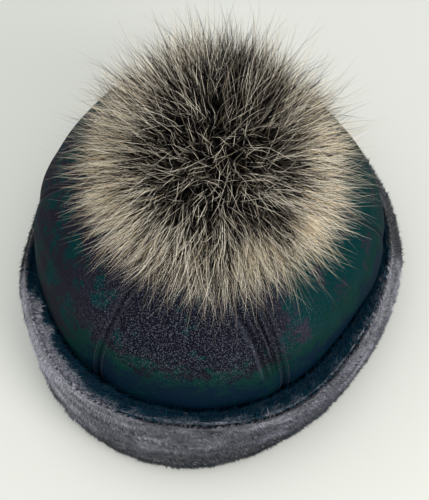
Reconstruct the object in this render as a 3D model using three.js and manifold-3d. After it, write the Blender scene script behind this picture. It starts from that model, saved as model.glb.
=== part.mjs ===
// A sheepskin hat: a domed crown of six gores, a wool cuff turned up round it, and a fur pompom on top.
// Millimetres, +Z up, -Y the front of the hat, standing on its cuff. Azimuth runs from the front towards +X.
// Sheepskin is one material, skin outside and sheared wool inside, so each gore is one wall of both.
// The cuff has wool on both faces: a turned-up band, and a facing sewn to it along the top edge.
import * as THREE from "three";
import { mergeVertices } from "three/addons/utils/BufferGeometryUtils.js";
import Module from "manifold-3d";

const wasm = await Module();
wasm.setup();

const FULL_TURN = 360;
const SKIN_AND_WOOL = 7; // thickness of the crown's sheepskin
const TOUCH = 0.4; // clearance between pieces that are sewn or pressed together
const WOOL_TOUCH = 0.9; // clearance between the two sides of the cuff
const TIP_HOLE = 7; // radius of the hole that the gores' tips leave at the apex
const LEAN = { right: -2, front: 9 }; // how far the apex stands off the middle of the cuff

// The seams between the gores: the front gore has one at each side, and the others share the rest evenly.
const GORE_NAMES = ["front", "front_right", "back_right", "back", "back_left", "front_left"];
const FRONT_GORE = { left: -27, right: 31.5 };
const LEFT_SEAM_BOW = -4; // degrees that the seam left of the front gore wanders by at the apex
const SEAM_DIP = 1.3; // how far the skin sinks into a seam
const SEAM_REACH = 4.5; // how far from the seam that dip can be felt
const SEAM_FADES = 28; // radius below which the dip fades towards the apex
const GORE_COLUMNS = [0, 0.05, 0.12, 0.3, 0.5, 0.7, 0.88, 0.95, 1]; // shares of a gore's width
const GORE_ROWS = 13;

// The crown's outline, from its lower edge to its apex, on a plan radius of 100.
const PLAN_RADIUS = 100;
const CROWN_SECTIONS = [
  { height: 2.5, radius: 97 },
  { height: 28, radius: 98.5 },
  { height: 54, radius: 101 },
  { height: 76, radius: 100 },
  { height: 96, radius: 93 },
  { height: 114, radius: 79 },
  { height: 128, radius: 59 },
  { height: 137, radius: 36 },
  { height: 141, radius: 15 },
  { height: 141.5, radius: TIP_HOLE },
];
const APEX = 141.5;
const LEAN_STARTS = 45; // height where the crown starts to lean
const DOME = { from: 50, full: 80 }; // heights between which the plan of the dome takes over
const ROUNDS_BY = 3; // power of the way up by which the plan turns round at the tip

// The hat seen from above, every 30 degrees: the crown inside the cuff and the dome above it, the seam along
// the cuff's top edge, the cuff's widest part, and the height of its top edge, which sinks towards the back.
const PLAN = [
  { azimuth: 0, crown: 105, dome: 103.5, seam: 117, belly: 130.5, top: 60 },
  { azimuth: 30, crown: 101, dome: 100, seam: 115, belly: 122, top: 61 },
  { azimuth: 60, crown: 95, dome: 95, seam: 107.5, belly: 116.5, top: 61 },
  { azimuth: 90, crown: 97, dome: 99.3, seam: 105.5, belly: 119, top: 58 },
  { azimuth: 120, crown: 96.5, dome: 98.5, seam: 103.5, belly: 117, top: 55 },
  { azimuth: 150, crown: 97.5, dome: 100.5, seam: 104, belly: 115, top: 54 },
  { azimuth: 180, crown: 97.5, dome: 100, seam: 104, belly: 114, top: 52 },
  { azimuth: 210, crown: 96, dome: 98, seam: 102.5, belly: 112, top: 50 },
  { azimuth: 240, crown: 93, dome: 95.5, seam: 99.5, belly: 106, top: 48 },
  { azimuth: 270, crown: 92.5, dome: 96.5, seam: 98.5, belly: 102, top: 48 },
  { azimuth: 300, crown: 99, dome: 98.5, seam: 110, belly: 113.5, top: 57 },
  { azimuth: 330, crown: 105, dome: 103.5, seam: 120.5, belly: 127.5, top: 60 },
];

const CUFF_STEPS = 48; // facets round the cuff
const FOLD = { height: 9, share: 0.5 }; // the fold that the facing stands on, as a share of the way out
const FOOT = { lip: 2, inside: 3, outside: 7, least: 1.5, round: 5, roundIn: 2.2 }; // the flat foot, round edged
const BELLY_HEIGHT = 20;
const FLANK = [
  { height: 34, share: 0.25, proud: 0 },
  { height: 48, share: 0.3, proud: 1 },
]; // the outer face above the belly, as shares of the way in to the seam
const FLANK_TOP = 60; // height of the cuff's top that those two are drawn for
const CREST = { out: 4.6, shoulder: 4, crown: 2.6, drop: 3 }; // the plush rim, and the sewn edge behind it
const FACING = { clear: 1.5, rim: 2.4, swell: 0.5, share: 0.35, dip: 1, shoulder: 7 };

const STUD = { disc: 11, stem: 4.5, plate: 2.4, clear: 0.6 };

// The pompom: a squat ball of fur with locks all over it. Its middle is off the apex, and above the floor.
const POMPOM_AT = { right: 1.5, front: 11, height: 176 };
const POMPOM = { ball: 48, squash: 0.84, reach: 63, locks: 84, lowest: 120, overCrown: 1.5 };
const ROUND_STEPS = 24; // facets round the stud and under the pompom
const BALL_STEPS = { round: 18, down: 11 };
const SEAT = { from: 0.5, rows: 9 }; // the stretch of the crown's outline that the pompom is hollowed over
const LOCK_SIDES = 5;
const LOCK_SECTIONS = [
  { along: 0.5, radius: 8.6 },
  { along: 0.82, radius: 6.4 },
  { along: 1, radius: 1.4 },
];
const LOCK_SWAY = 5; // how far a lock's tip leans over
const LOCK_SWAY_TURNS = { side: 2.4, other: 1.7 }; // radians from lock to lock in the way it leans
const LOCK_VARIES = { share: 0.05, turn: 5.1 }; // share of its length that a lock varies by, and how it does
const OFF_LOCK = [0.3, 0.2, 1]; // a direction that no lock points in, to find its sides from

const SAME_POINT = 1e-4; // points closer than this are one

const radians = THREE.MathUtils.degToRad;
const clamp = THREE.MathUtils.clamp;

/** A column of a table with evenly spaced azimuths, read smoothly at any azimuth in degrees. */
function read(column, azimuth) {
  const step = FULL_TURN / PLAN.length;
  const place = THREE.MathUtils.euclideanModulo(azimuth, FULL_TURN) / step;
  const first = Math.floor(place);
  const t = place - first;
  const at = (k) => PLAN[(first + k + PLAN.length) % PLAN.length][column];
  const slope = (k) => (at(k + 1) - at(k - 1)) / 2;
  const rise = at(1) - at(0);
  const bend = 3 * rise - 2 * slope(0) - slope(1);
  const twist = slope(0) + slope(1) - 2 * rise;
  return at(0) + slope(0) * t + bend * t ** 2 + twist * t ** 3;
}

/** A point at an azimuth in degrees, a radius and a height. */
function around(azimuth, radius, height) {
  const a = radians(azimuth);
  return new THREE.Vector3(radius * Math.sin(a), -radius * Math.cos(a), height);
}

/**
 * A closed geometry from rows of points. Each row is one loop, running anticlockwise seen against the way the
 * rows advance. The rows themselves close on the first one, or end in two caps of strips across the loop.
 */
function skinned(rows, closed) {
  const columns = rows[0].length;
  const positions = rows.flat().flatMap((p) => p.toArray());
  const index = [];
  const bands = closed ? rows.length : rows.length - 1;
  for (let i = 0; i < bands; i += 1) {
    const next = (i + 1) % rows.length;
    for (let j = 0; j < columns; j += 1) {
      const k = (j + 1) % columns;
      const [a, b, c, d] = [i * columns + j, i * columns + k, next * columns + k, next * columns + j];
      index.push(a, b, c, a, c, d);
    }
  }
  if (!closed) {
    const last = (rows.length - 1) * columns;
    for (let j = 0; j < Math.ceil(columns / 2) - 1; j += 1) {
      const [near, far] = [columns - 1 - j, columns - 2 - j];
      index.push(j, near, j + 1, last + j, last + j + 1, last + near);
      if (far > j + 1) index.push(j + 1, near, far, last + j + 1, last + far, last + near);
    }
  }
  const geometry = new THREE.BufferGeometry();
  geometry.setAttribute("position", new THREE.Float32BufferAttribute(positions, 3));
  geometry.setIndex(index);
  return geometry;
}

/** A manifold-3d solid of a closed geometry. */
function solid(geometry) {
  const bare = geometry.clone();
  bare.deleteAttribute("normal");
  bare.deleteAttribute("uv");
  const merged = mergeVertices(bare, SAME_POINT);
  return new wasm.Manifold(
    new wasm.Mesh({
      numProp: 3,
      vertProperties: merged.attributes.position.array,
      triVerts: new Uint32Array(merged.index.array),
    }),
  );
}

/** The geometry of a manifold-3d solid. */
function geometryOf(made) {
  const { vertProperties, triVerts } = made.getMesh();
  const geometry = new THREE.BufferGeometry();
  geometry.setAttribute("position", new THREE.BufferAttribute(vertProperties, 3));
  geometry.setIndex(new THREE.BufferAttribute(triVerts, 1));
  return geometry;
}

const outline = new THREE.SplineCurve(CROWN_SECTIONS.map((s) => new THREE.Vector2(s.radius, s.height)));

/** How far the crown's middle has leant at a height. */
function leanAt(height) {
  const share = THREE.MathUtils.smoothstep(height, LEAN_STARTS, APEX);
  return new THREE.Vector3(LEAN.right * share, -LEAN.front * share, 0);
}

/** The azimuth of the seam before gore k, counted from the front one, from 0 at its foot to 1 at its tip. */
function seamAzimuth(k, along) {
  if (k === GORE_NAMES.length) return seamAzimuth(0, along) + FULL_TURN;
  if (k === 0) return FRONT_GORE.left + LEFT_SEAM_BOW * along ** 2;
  const pitch = (FULL_TURN - FRONT_GORE.right + FRONT_GORE.left) / (GORE_NAMES.length - 1);
  return FRONT_GORE.right + (k - 1) * pitch;
}

/** How far the skin sinks beside the nearest seam, at an azimuth and a radius from the axis. */
function seamDip(azimuth, along, radius) {
  const half = FULL_TURN / 2;
  const offs = GORE_NAMES.map((_, k) => {
    const turn = azimuth - seamAzimuth(k, along) + half;
    return Math.abs(THREE.MathUtils.euclideanModulo(turn, FULL_TURN) - half);
  });
  const away = radians(Math.min(...offs)) * radius;
  return SEAM_DIP * Math.exp(-((away / SEAM_REACH) ** 2));
}

/** A point of the crown, from 0 at its lower edge to 1 at its tip, sunk inwards by a depth. */
function crownPoint(azimuth, along, depth) {
  const place = outline.getPoint(along);
  const tangent = outline.getTangent(along);
  const share = THREE.MathUtils.smoothstep(place.y, DOME.from, DOME.full);
  const wide = THREE.MathUtils.lerp(read("crown", azimuth), read("dome", azimuth), share) / PLAN_RADIUS;
  const plan = THREE.MathUtils.lerp(wide, 1, along ** ROUNDS_BY);
  const sunk = depth + seamDip(azimuth, along, place.x) * clamp(place.x / SEAM_FADES, 0, 1);
  const radius = Math.max(place.x * plan - tangent.y * sunk, TIP_HOLE);
  const height = place.y + tangent.x * sunk;
  return around(azimuth, radius, height).add(leanAt(place.y));
}

/** One gore: a wall of skin and wool between two seams, narrow at the apex. */
function gore(k) {
  const face = (depth) => GORE_COLUMNS.map((u) => [u, depth]);
  const loop = [...face(0), ...face(SKIN_AND_WOOL).reverse()];
  const grid = Array.from({ length: GORE_ROWS }, (_, i) => {
    const along = i / (GORE_ROWS - 1);
    const seamGap = THREE.MathUtils.radToDeg(TOUCH / 2 / outline.getPoint(along).x);
    const [left, right] = [seamAzimuth(k, along) + seamGap, seamAzimuth(k + 1, along) - seamGap];
    const azimuth = (u) => THREE.MathUtils.lerp(left, right, u);
    return loop.map(([u, depth]) => crownPoint(azimuth(u), along, depth));
  });
  return skinned(grid, false);
}

/** A ring whose section changes round the hat: section(azimuth) gives its [radius, height] points. */
function ring(section) {
  const rows = Array.from({ length: CUFF_STEPS }, (_, i) => {
    const azimuth = (-i * FULL_TURN) / CUFF_STEPS;
    return section(azimuth).map(([radius, height]) => around(azimuth, radius, height));
  });
  return skinned(rows, true);
}

/** The sizes of the cuff at an azimuth. */
function cuffAt(azimuth) {
  const [crown, seam, belly, top] = ["crown", "seam", "belly", "top"].map((c) => read(c, azimuth));
  return { crown, seam, belly, top, fold: THREE.MathUtils.lerp(crown, belly, FOLD.share) };
}

/** The turned-up band: its flat foot, its belly, its flank, over the crest to the sewn edge, and down. */
function bandSection(azimuth) {
  const { crown, seam, belly, top, fold } = cuffAt(azimuth);
  const flank = FLANK.map(({ height, share, proud }) => {
    return [THREE.MathUtils.lerp(belly, seam, share) + proud, (height * top) / FLANK_TOP];
  });
  return [
    [crown + TOUCH, FOOT.lip],
    [crown + FOOT.inside, 0],
    [Math.max(belly - FOOT.outside, crown + FOOT.inside + FOOT.least), 0],
    [belly - FOOT.roundIn, FOOT.round],
    [belly, BELLY_HEIGHT],
    ...flank,
    [seam + CREST.out, top - CREST.shoulder],
    [seam + CREST.crown, top],
    [seam, top - CREST.drop],
    [fold, FOLD.height],
    [crown + TOUCH, FOLD.height],
  ];
}

/** The facing: between the crown and the band, from the fold up to the sewn edge. */
function facingSection(azimuth) {
  const { crown, seam, top, fold } = cuffAt(azimuth);
  const inner = crown + FACING.clear;
  return [
    [fold - WOOL_TOUCH, FOLD.height + TOUCH],
    [seam - WOOL_TOUCH, top - CREST.drop],
    [seam - FACING.rim, top + FACING.swell],
    [THREE.MathUtils.lerp(inner, seam, FACING.share), top - FACING.dip],
    [inner + FACING.swell, top - FACING.shoulder],
    [inner, FOLD.height + TOUCH],
  ];
}

/** The post that the pompom is fixed on: a disc under the crown, a stem through the apex, a disc above. */
function studGeometry() {
  const { disc, stem, plate, clear } = STUD;
  const under = APEX - SKIN_AND_WOOL - clear;
  const over = APEX + clear;
  const profile = [
    [0, under - plate],
    [disc, under - plate],
    [disc, under],
    [stem, under],
    [stem, over],
    [disc, over],
    [disc, over + plate],
    [0, over + plate],
  ].map(([r, z]) => new THREE.Vector2(r, z));
  return new THREE.LatheGeometry(profile, ROUND_STEPS).rotateX(Math.PI / 2);
}

/** One lock of fur: a leaning, tapering tuft from inside the ball out to its tip. */
function lock(direction, length, k) {
  const side = new THREE.Vector3().crossVectors(direction, new THREE.Vector3(...OFF_LOCK)).normalize();
  const other = new THREE.Vector3().crossVectors(direction, side);
  const sway = side.clone().multiplyScalar(Math.sin(k * LOCK_SWAY_TURNS.side));
  sway.addScaledVector(other, Math.cos(k * LOCK_SWAY_TURNS.other));
  const root = LOCK_SECTIONS[0].along;
  const rows = LOCK_SECTIONS.map(({ along, radius }) => {
    const leant = LOCK_SWAY * ((along - root) / (1 - root)) ** 2;
    const middle = direction.clone().multiplyScalar(length * along).addScaledVector(sway, leant);
    return Array.from({ length: LOCK_SIDES }, (_, j) => {
      const a = (j / LOCK_SIDES) * 2 * Math.PI;
      return middle
        .clone()
        .addScaledVector(side, radius * Math.cos(a))
        .addScaledVector(other, radius * Math.sin(a));
    });
  });
  return skinned(rows, false);
}

/** The room that the crown and the stud take under the pompom, a little larger than they are. */
function crownRoom() {
  const rows = Array.from({ length: SEAT.rows }, (_, i) => {
    const along = THREE.MathUtils.lerp(SEAT.from, 1, i / (SEAT.rows - 1));
    const azimuths = Array.from({ length: ROUND_STEPS }, (_, j) => (j * FULL_TURN) / ROUND_STEPS);
    return azimuths.map((azimuth) => crownPoint(azimuth, along, -POMPOM.overCrown));
  });
  const { disc, plate, clear } = STUD;
  const top = APEX + clear + plate + TOUCH;
  const radius = disc + TOUCH;
  const cap = new THREE.CylinderGeometry(radius, radius, radius, ROUND_STEPS).rotateX(Math.PI / 2);
  cap.translate(0, 0, top - radius / 2).translate(...leanAt(APEX).toArray());
  return solid(skinned(rows, false)).add(solid(cap));
}

/** The pompom, all its locks and its ball fused into one solid and hollowed to sit on the crown. */
function pompomGeometry() {
  const seat = leanAt(APEX).add(new THREE.Vector3(POMPOM_AT.right, -POMPOM_AT.front, POMPOM_AT.height));
  const ball = new THREE.SphereGeometry(POMPOM.ball, BALL_STEPS.round, BALL_STEPS.down).rotateX(Math.PI / 2);
  ball.scale(1, 1, POMPOM.squash);
  const locks = [];
  const golden = Math.PI * (3 - Math.sqrt(5));
  const lowest = Math.cos(radians(POMPOM.lowest));
  for (let k = 0; k < POMPOM.locks; k += 1) {
    const z = THREE.MathUtils.lerp(1, lowest, (k + 0.5) / POMPOM.locks);
    const level = Math.sqrt(1 - z * z);
    const direction = new THREE.Vector3(level * Math.cos(k * golden), level * Math.sin(k * golden), z);
    const squashed = POMPOM.reach * THREE.MathUtils.lerp(POMPOM.squash, 1, level);
    const length = squashed * (1 + LOCK_VARIES.share * Math.sin(k * LOCK_VARIES.turn));
    locks.push(solid(lock(direction, length, k)));
  }
  const fur = wasm.Manifold.union([solid(ball), ...locks]).translate(seat.toArray());
  return geometryOf(fur.subtract(crownRoom()));
}

const hat = new THREE.Group();

/** A named piece of the hat. */
function piece(name, geometry, material, position = new THREE.Vector3()) {
  const mesh = new THREE.Mesh(geometry, material);
  mesh.name = name;
  mesh.position.copy(position);
  hat.add(mesh);
}

const leather = new THREE.MeshStandardMaterial({ color: 0x1b1e26, roughness: 0.5, metalness: 0 });
const wool = new THREE.MeshStandardMaterial({ color: 0x55565e, roughness: 0.95, metalness: 0 });
const fur = new THREE.MeshStandardMaterial({ color: 0x8a8172, roughness: 0.9, metalness: 0 });
const stud = new THREE.MeshStandardMaterial({ color: 0x26262a, roughness: 0.5, metalness: 0 });

GORE_NAMES.forEach((name, k) => piece(`gore_${name}`, gore(k), leather));
piece("cuff_band", ring(bandSection), wool);
piece("cuff_facing", ring(facingSection), wool);
piece("pompom_stud", studGeometry(), stud, leanAt(APEX));
piece("pompom", pompomGeometry(), fur);

// The frame's origin is the middle of the hat's bounding box, on the surface that it stands on.
const middle = new THREE.Box3().setFromObject(hat).getCenter(new THREE.Vector3());
hat.children.forEach((mesh) => mesh.position.sub(new THREE.Vector3(middle.x, middle.y, 0)));

export default hat;
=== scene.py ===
"""The looks of a sheepskin hat: nappa gores, a cuff of sheared wool, and a long fur pompom.

Sizes are millimetres in the sheepskin's own frame, whose axis is the middle of the cuff, -Y the front and
azimuth counted from the front towards +X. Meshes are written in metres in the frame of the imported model.
"""

import logging
import math
from dataclasses import dataclass, field
from enum import Enum
from typing import Sequence

import bpy
import numpy as np
from mathutils import Matrix, Vector


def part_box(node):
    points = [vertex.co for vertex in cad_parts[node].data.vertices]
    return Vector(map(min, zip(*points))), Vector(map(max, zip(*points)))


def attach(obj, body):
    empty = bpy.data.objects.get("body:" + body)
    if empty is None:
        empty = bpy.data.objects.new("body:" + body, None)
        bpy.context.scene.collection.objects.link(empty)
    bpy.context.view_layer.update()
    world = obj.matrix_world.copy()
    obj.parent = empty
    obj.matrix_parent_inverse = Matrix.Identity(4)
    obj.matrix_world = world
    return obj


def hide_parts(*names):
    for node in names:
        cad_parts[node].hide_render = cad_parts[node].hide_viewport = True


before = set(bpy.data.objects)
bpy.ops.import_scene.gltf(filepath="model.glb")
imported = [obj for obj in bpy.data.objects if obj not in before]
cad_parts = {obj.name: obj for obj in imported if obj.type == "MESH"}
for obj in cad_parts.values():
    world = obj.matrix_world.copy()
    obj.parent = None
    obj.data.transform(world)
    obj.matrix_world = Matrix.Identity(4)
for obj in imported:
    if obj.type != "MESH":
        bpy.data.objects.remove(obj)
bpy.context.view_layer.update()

LOG = logging.getLogger("hat")
MM = 0.001
FULL_TURN = 360.0
HALF_TURN = FULL_TURN / 2
BODY = "root"
FRAME_HEIGHT = 500
UV_NAME = "OFBake"
SHADE_EDGE = 0.004

Array = np.ndarray
Colour = tuple[float, float, float]
Fade = tuple[float, float]


def srgb(red: float, green: float, blue: float) -> Colour:
    """A linear colour from three screen values of 0 to 255."""
    def linear(value: float) -> float:
        """One channel, made linear."""
        share = value / 255
        return share / 12.92 if share <= 0.04045 else ((share + 0.055) / 1.055) ** 2.4
    return (linear(red), linear(green), linear(blue))


def smooth(value: Array, low: float, high: float) -> Array:
    """A soft step from 0 at low to 1 at high."""
    share = np.clip((value - low) / (high - low), 0, 1)
    return share * share * (3 - 2 * share)


def unit(vectors: Array) -> Array:
    """Vectors of length one."""
    return vectors / np.maximum(np.linalg.norm(vectors, axis=-1, keepdims=True), 1e-9)


def side(azimuth: Array) -> Array:
    """The azimuth from -180 to 180, so that the left of the hat is below nought."""
    return np.mod(azimuth + HALF_TURN, FULL_TURN) - HALF_TURN


def curved(before: Array, first: Array, second: Array, after: Array, share: Array | float) -> Array:
    """A smooth curve between two knots, which heeds the knots on both sides of them.

    Args:
        before: the knot before the two.
        first: the knot where the share is 0.
        second: the knot where the share is 1.
        after: the knot after the two.
        share: the place between the two.

    Returns:
        The curve at that place.
    """
    start, end = (second - before) / 2, (after - first) / 2
    rise = second - first
    bend, twist = 3 * rise - 2 * start - end, start + end - 2 * rise
    return first + start * share + bend * share ** 2 + twist * share ** 3


def placed(name: str, data: bpy.types.ID) -> bpy.types.Object:
    """A new object in the scene, at the origin."""
    made = bpy.data.objects.new(name, data)
    bpy.context.scene.collection.objects.link(made)
    return made


@dataclass(frozen=True)
class Ripples:
    """Smooth irregular noise: a few crossed sine waves with a fixed seed."""

    seed: int
    wavelength: float
    waves: int = 7

    def at(self, x: Array, y: Array) -> Array:
        """Noise of about -1 to 1.

        Args:
            x: one coordinate, in the same unit as the wavelength.
            y: the other coordinate.

        Returns:
            The noise at each place.
        """
        rng = np.random.default_rng(self.seed)
        total = np.zeros(np.broadcast(x, y).shape)
        for _ in range(self.waves):
            turn, phase = rng.uniform(0, 2 * math.pi, 2)
            pitch = 2 * math.pi / (self.wavelength * rng.uniform(0.6, 1.7))
            total += np.sin((x * math.cos(turn) + y * math.sin(turn)) * pitch + phase)
        return total / math.sqrt(self.waves)


class Gore(Enum):
    """The six sewn panels of the crown, from the front one round towards +X."""

    FRONT = 0
    FRONT_RIGHT = 1
    BACK_RIGHT = 2
    BACK = 3
    BACK_LEFT = 4
    FRONT_LEFT = 5

    @property
    def node(self) -> str:
        """The name of its solid."""
        return f"gore_{self.name.lower()}"


@dataclass(frozen=True)
class PlanRow:
    """The hat seen from above at one azimuth."""

    crown: float
    dome: float
    seam: float
    belly: float
    top: float


@dataclass(frozen=True)
class HatForm:
    """The hat's own form, as its solids have it."""

    apex: float = 141.5
    lean_right: float = -2.0
    lean_front: float = 9.0
    lean_starts: float = 45.0
    dome_from: float = 50.0
    dome_full: float = 80.0
    plan_radius: float = 100.0
    tip_hole: float = 7.0
    seam_left: float = -27.0
    seam_right: float = 31.5
    seam_bow: float = -4.0
    seam_dip: float = 1.3
    seam_reach: float = 4.5
    heights: tuple[float, ...] = (2.5, 28, 54, 76, 96, 114, 128, 137, 141, 141.5)
    radii: tuple[float, ...] = (97, 98.5, 101, 100, 93, 79, 59, 36, 15, 7)
    plan: tuple[PlanRow, ...] = (
        PlanRow(crown=105, dome=103.5, seam=117, belly=130.5, top=60),
        PlanRow(crown=101, dome=100, seam=115, belly=122, top=61),
        PlanRow(crown=95, dome=95, seam=107.5, belly=116.5, top=61),
        PlanRow(crown=97, dome=99.3, seam=105.5, belly=119, top=58),
        PlanRow(crown=96.5, dome=98.5, seam=103.5, belly=117, top=55),
        PlanRow(crown=97.5, dome=100.5, seam=104, belly=115, top=54),
        PlanRow(crown=97.5, dome=100, seam=104, belly=114, top=52),
        PlanRow(crown=96, dome=98, seam=102.5, belly=112, top=50),
        PlanRow(crown=93, dome=95.5, seam=99.5, belly=106, top=48),
        PlanRow(crown=92.5, dome=96.5, seam=98.5, belly=102, top=48),
        PlanRow(crown=99, dome=98.5, seam=110, belly=113.5, top=57),
        PlanRow(crown=105, dome=103.5, seam=120.5, belly=127.5, top=60),
    )

    @property
    def lean(self) -> Array:
        """How far the apex stands off the middle of the cuff."""
        return np.array([self.lean_right, -self.lean_front, 0.0])

    @property
    def shift(self) -> Array:
        """From the hat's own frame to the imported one: the stud tells where the apex is."""
        low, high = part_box("pompom_stud")
        middle = (low + high) / 2 / MM
        return np.array([middle.x, middle.y, 0.0]) - self.lean

    def column(self, name: str, azimuth: Array) -> Array:
        """A column of the plan, read smoothly at any azimuth in degrees."""
        values = np.array([getattr(row, name) for row in self.plan], float)
        place = np.mod(azimuth, FULL_TURN) / (FULL_TURN / len(values))
        first = np.floor(place).astype(int)
        return curved(*(values[(first + k) % len(values)] for k in (-1, 0, 1, 2)), place - first)

    def outline(self, along: Array) -> Array:
        """The crown's outline as (radius, height), from 0 at the lower edge to 1 at the tip."""
        knots = np.stack([np.array(self.radii, float), np.array(self.heights, float)], 1)
        last = len(knots) - 1
        place = np.clip(along, 0, 1) * last
        first = np.floor(place).astype(int)
        four = (knots[np.clip(first + k, 0, last)] for k in (-1, 0, 1, 2))
        return curved(*four, (place - first)[..., None])

    def seam_azimuth(self, k: int, along: Array) -> Array:
        """The azimuth of the seam before gore k."""
        if k == len(Gore):
            return self.seam_azimuth(0, along) + FULL_TURN
        if k == 0:
            return self.seam_left + self.seam_bow * along ** 2
        pitch = (FULL_TURN - self.seam_right + self.seam_left) / (len(Gore) - 1)
        return np.full_like(along, self.seam_right + (k - 1) * pitch)

    def seam_distance(self, azimuth: Array, along: Array, radius: Array) -> Array:
        """How far a place is from the nearest seam, along the skin."""
        offs = [np.abs(side(azimuth - self.seam_azimuth(k, along))) for k in range(len(Gore))]
        return np.radians(np.min(offs, axis=0)) * radius

    def crown(self, azimuth: Array, along: Array, depth: Array) -> Array:
        """Points of the crown.

        Args:
            azimuth: degrees from the front.
            along: from 0 at the lower edge to 1 at the tip.
            depth: how far under the skin, or above it where negative.

        Returns:
            The points, in the hat's own frame.
        """
        step = 1e-4
        place = self.outline(along)
        tangent = unit(self.outline(along + step) - self.outline(along - step))
        share = smooth(place[..., 1], self.dome_from, self.dome_full)
        wide = (1 - share) * self.column("crown", azimuth) + share * self.column("dome", azimuth)
        plan = wide / self.plan_radius
        plan = plan + (1 - plan) * along ** 3
        away = self.seam_distance(azimuth, along, place[..., 0])
        dip = self.seam_dip * np.exp(-((away / self.seam_reach) ** 2))
        sunk = depth + dip * np.clip(place[..., 0] / (4 * self.tip_hole), 0, 1)
        radius = np.maximum(place[..., 0] * plan - tangent[..., 1] * sunk, self.tip_hole * 0.7)
        height = place[..., 1] + tangent[..., 0] * sunk
        return self.around(azimuth, radius, height) + self.leant(place[..., 1])

    def leant(self, height: Array) -> Array:
        """How far the middle of the crown has leant at a height."""
        return smooth(height, self.lean_starts, self.apex)[..., None] * self.lean

    @staticmethod
    def around(azimuth: Array, radius: Array, height: Array) -> Array:
        """Points at an azimuth in degrees, a radius and a height."""
        turn = np.radians(azimuth)
        parts = (radius * np.sin(turn), -radius * np.cos(turn), height)
        return np.stack(np.broadcast_arrays(*parts), -1)


FORM = HatForm()
SHIFT = FORM.shift


@dataclass
class Shell:
    """A mesh being made: its points in the hat's own frame, its faces and values on its points."""

    name: str
    points: Array
    faces: list[tuple[int, ...]]
    values: dict[str, Array] = field(default_factory=dict)
    edges: list[tuple[int, int]] = field(default_factory=list)

    @classmethod
    def from_grid(cls, name: str, grid: Array, turn: int, values: dict[str, Array] | None = None) -> "Shell":
        """A closed skin over rows of points whose columns go round.

        Args:
            name: the name of the piece.
            grid: rows by columns by 3; each row is a loop.
            turn: the column where a loop turns back, so that both ends are closed between its two sides; 0
                where the last row joins the first.
            values: named values of rows by columns, or rows by columns by 3.

        Returns:
            The shell, with its faces outwards where the loops run anticlockwise seen against the rows' way.
        """
        rows, columns = grid.shape[:2]
        cell = np.arange(rows * columns).reshape(rows, columns)
        low = cell[:-1] if turn else cell
        high = cell[1:] if turn else np.roll(cell, -1, 0)
        quads = np.stack([low, np.roll(low, -1, 1), np.roll(high, -1, 1), high], -1).reshape(-1, 4)
        faces = [tuple(q) for q in quads.tolist()]
        if turn:
            points = grid.reshape(-1, 3)
            faces.extend(cls.strip(points, cell[0, :turn], cell[0, turn:][::-1]))
            faces.extend(face[::-1] for face in cls.strip(points, cell[-1, :turn], cell[-1, turn:][::-1]))
        flat = {key: v.reshape(rows * columns, -1) for key, v in (values or {}).items()}
        return cls(name, grid.reshape(-1, 3), faces, flat)

    @staticmethod
    def strip(points: Array, first: Array, second: Array) -> list[tuple[int, ...]]:
        """Triangles between two rows of points that run side by side, each across the shorter way.

        Args:
            points: all the points.
            first: the places of one row's points.
            second: the places of the other row's.

        Returns:
            The triangles.
        """
        faces = []
        i, j = 0, 0
        while i < len(first) - 1 or j < len(second) - 1:
            ahead = i < len(first) - 1
            if ahead and j < len(second) - 1:
                over = np.linalg.norm(points[first[i + 1]] - points[second[j]])
                back = np.linalg.norm(points[first[i]] - points[second[j + 1]])
                ahead = over < back
            if ahead:
                faces.append((int(first[i]), int(second[j]), int(first[i + 1])))
                i += 1
            else:
                faces.append((int(first[i]), int(second[j]), int(second[j + 1])))
                j += 1
        return faces

    def build(self) -> bpy.types.Object:
        """The Blender object, smooth shaded, at the origin, with its place in its mesh."""
        mesh = bpy.data.meshes.new(self.name)
        mesh.from_pydata(((self.points + SHIFT) * MM).tolist(), self.edges, self.faces)
        for key, value in self.values.items():
            kind, what = ("FLOAT_VECTOR", "vector") if value.shape[1] == 3 else ("FLOAT", "value")
            mesh.attributes.new(key, kind, "POINT").data.foreach_set(what, value.ravel())
        mesh.polygons.foreach_set("use_smooth", [True] * len(mesh.polygons))
        mesh.update()
        return placed(self.name, mesh)


class Wire:
    """One output of a node, with Python's operators adding the nodes of its maths."""

    def __init__(self, sheet: "NodeSheet", socket: bpy.types.NodeSocket) -> None:
        """Wraps an output socket of a sheet's node."""
        self.sheet = sheet
        self.socket = socket

    def __add__(self, other: object) -> "Wire":
        """self + other."""
        return self.sheet.maths("ADD", self, other)

    def __sub__(self, other: object) -> "Wire":
        """self - other."""
        return self.sheet.maths("SUBTRACT", self, other)

    def __rsub__(self, other: object) -> "Wire":
        """other - self."""
        return self.sheet.maths("SUBTRACT", other, self)

    def __mul__(self, other: object) -> "Wire":
        """self * other."""
        return self.sheet.maths("MULTIPLY", self, other)

    def __pow__(self, other: object) -> "Wire":
        """self ** other."""
        return self.sheet.maths("POWER", self, other)

    __radd__ = __add__

    def step(self, low: float, high: float) -> "Wire":
        """A soft step from 0 at low to 1 at high."""
        settings = {"interpolation_type": "SMOOTHSTEP"}
        return self.sheet.node("ShaderNodeMapRange", settings, {0: self, 1: low, 2: high, 3: 0.0, 4: 1.0})


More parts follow.
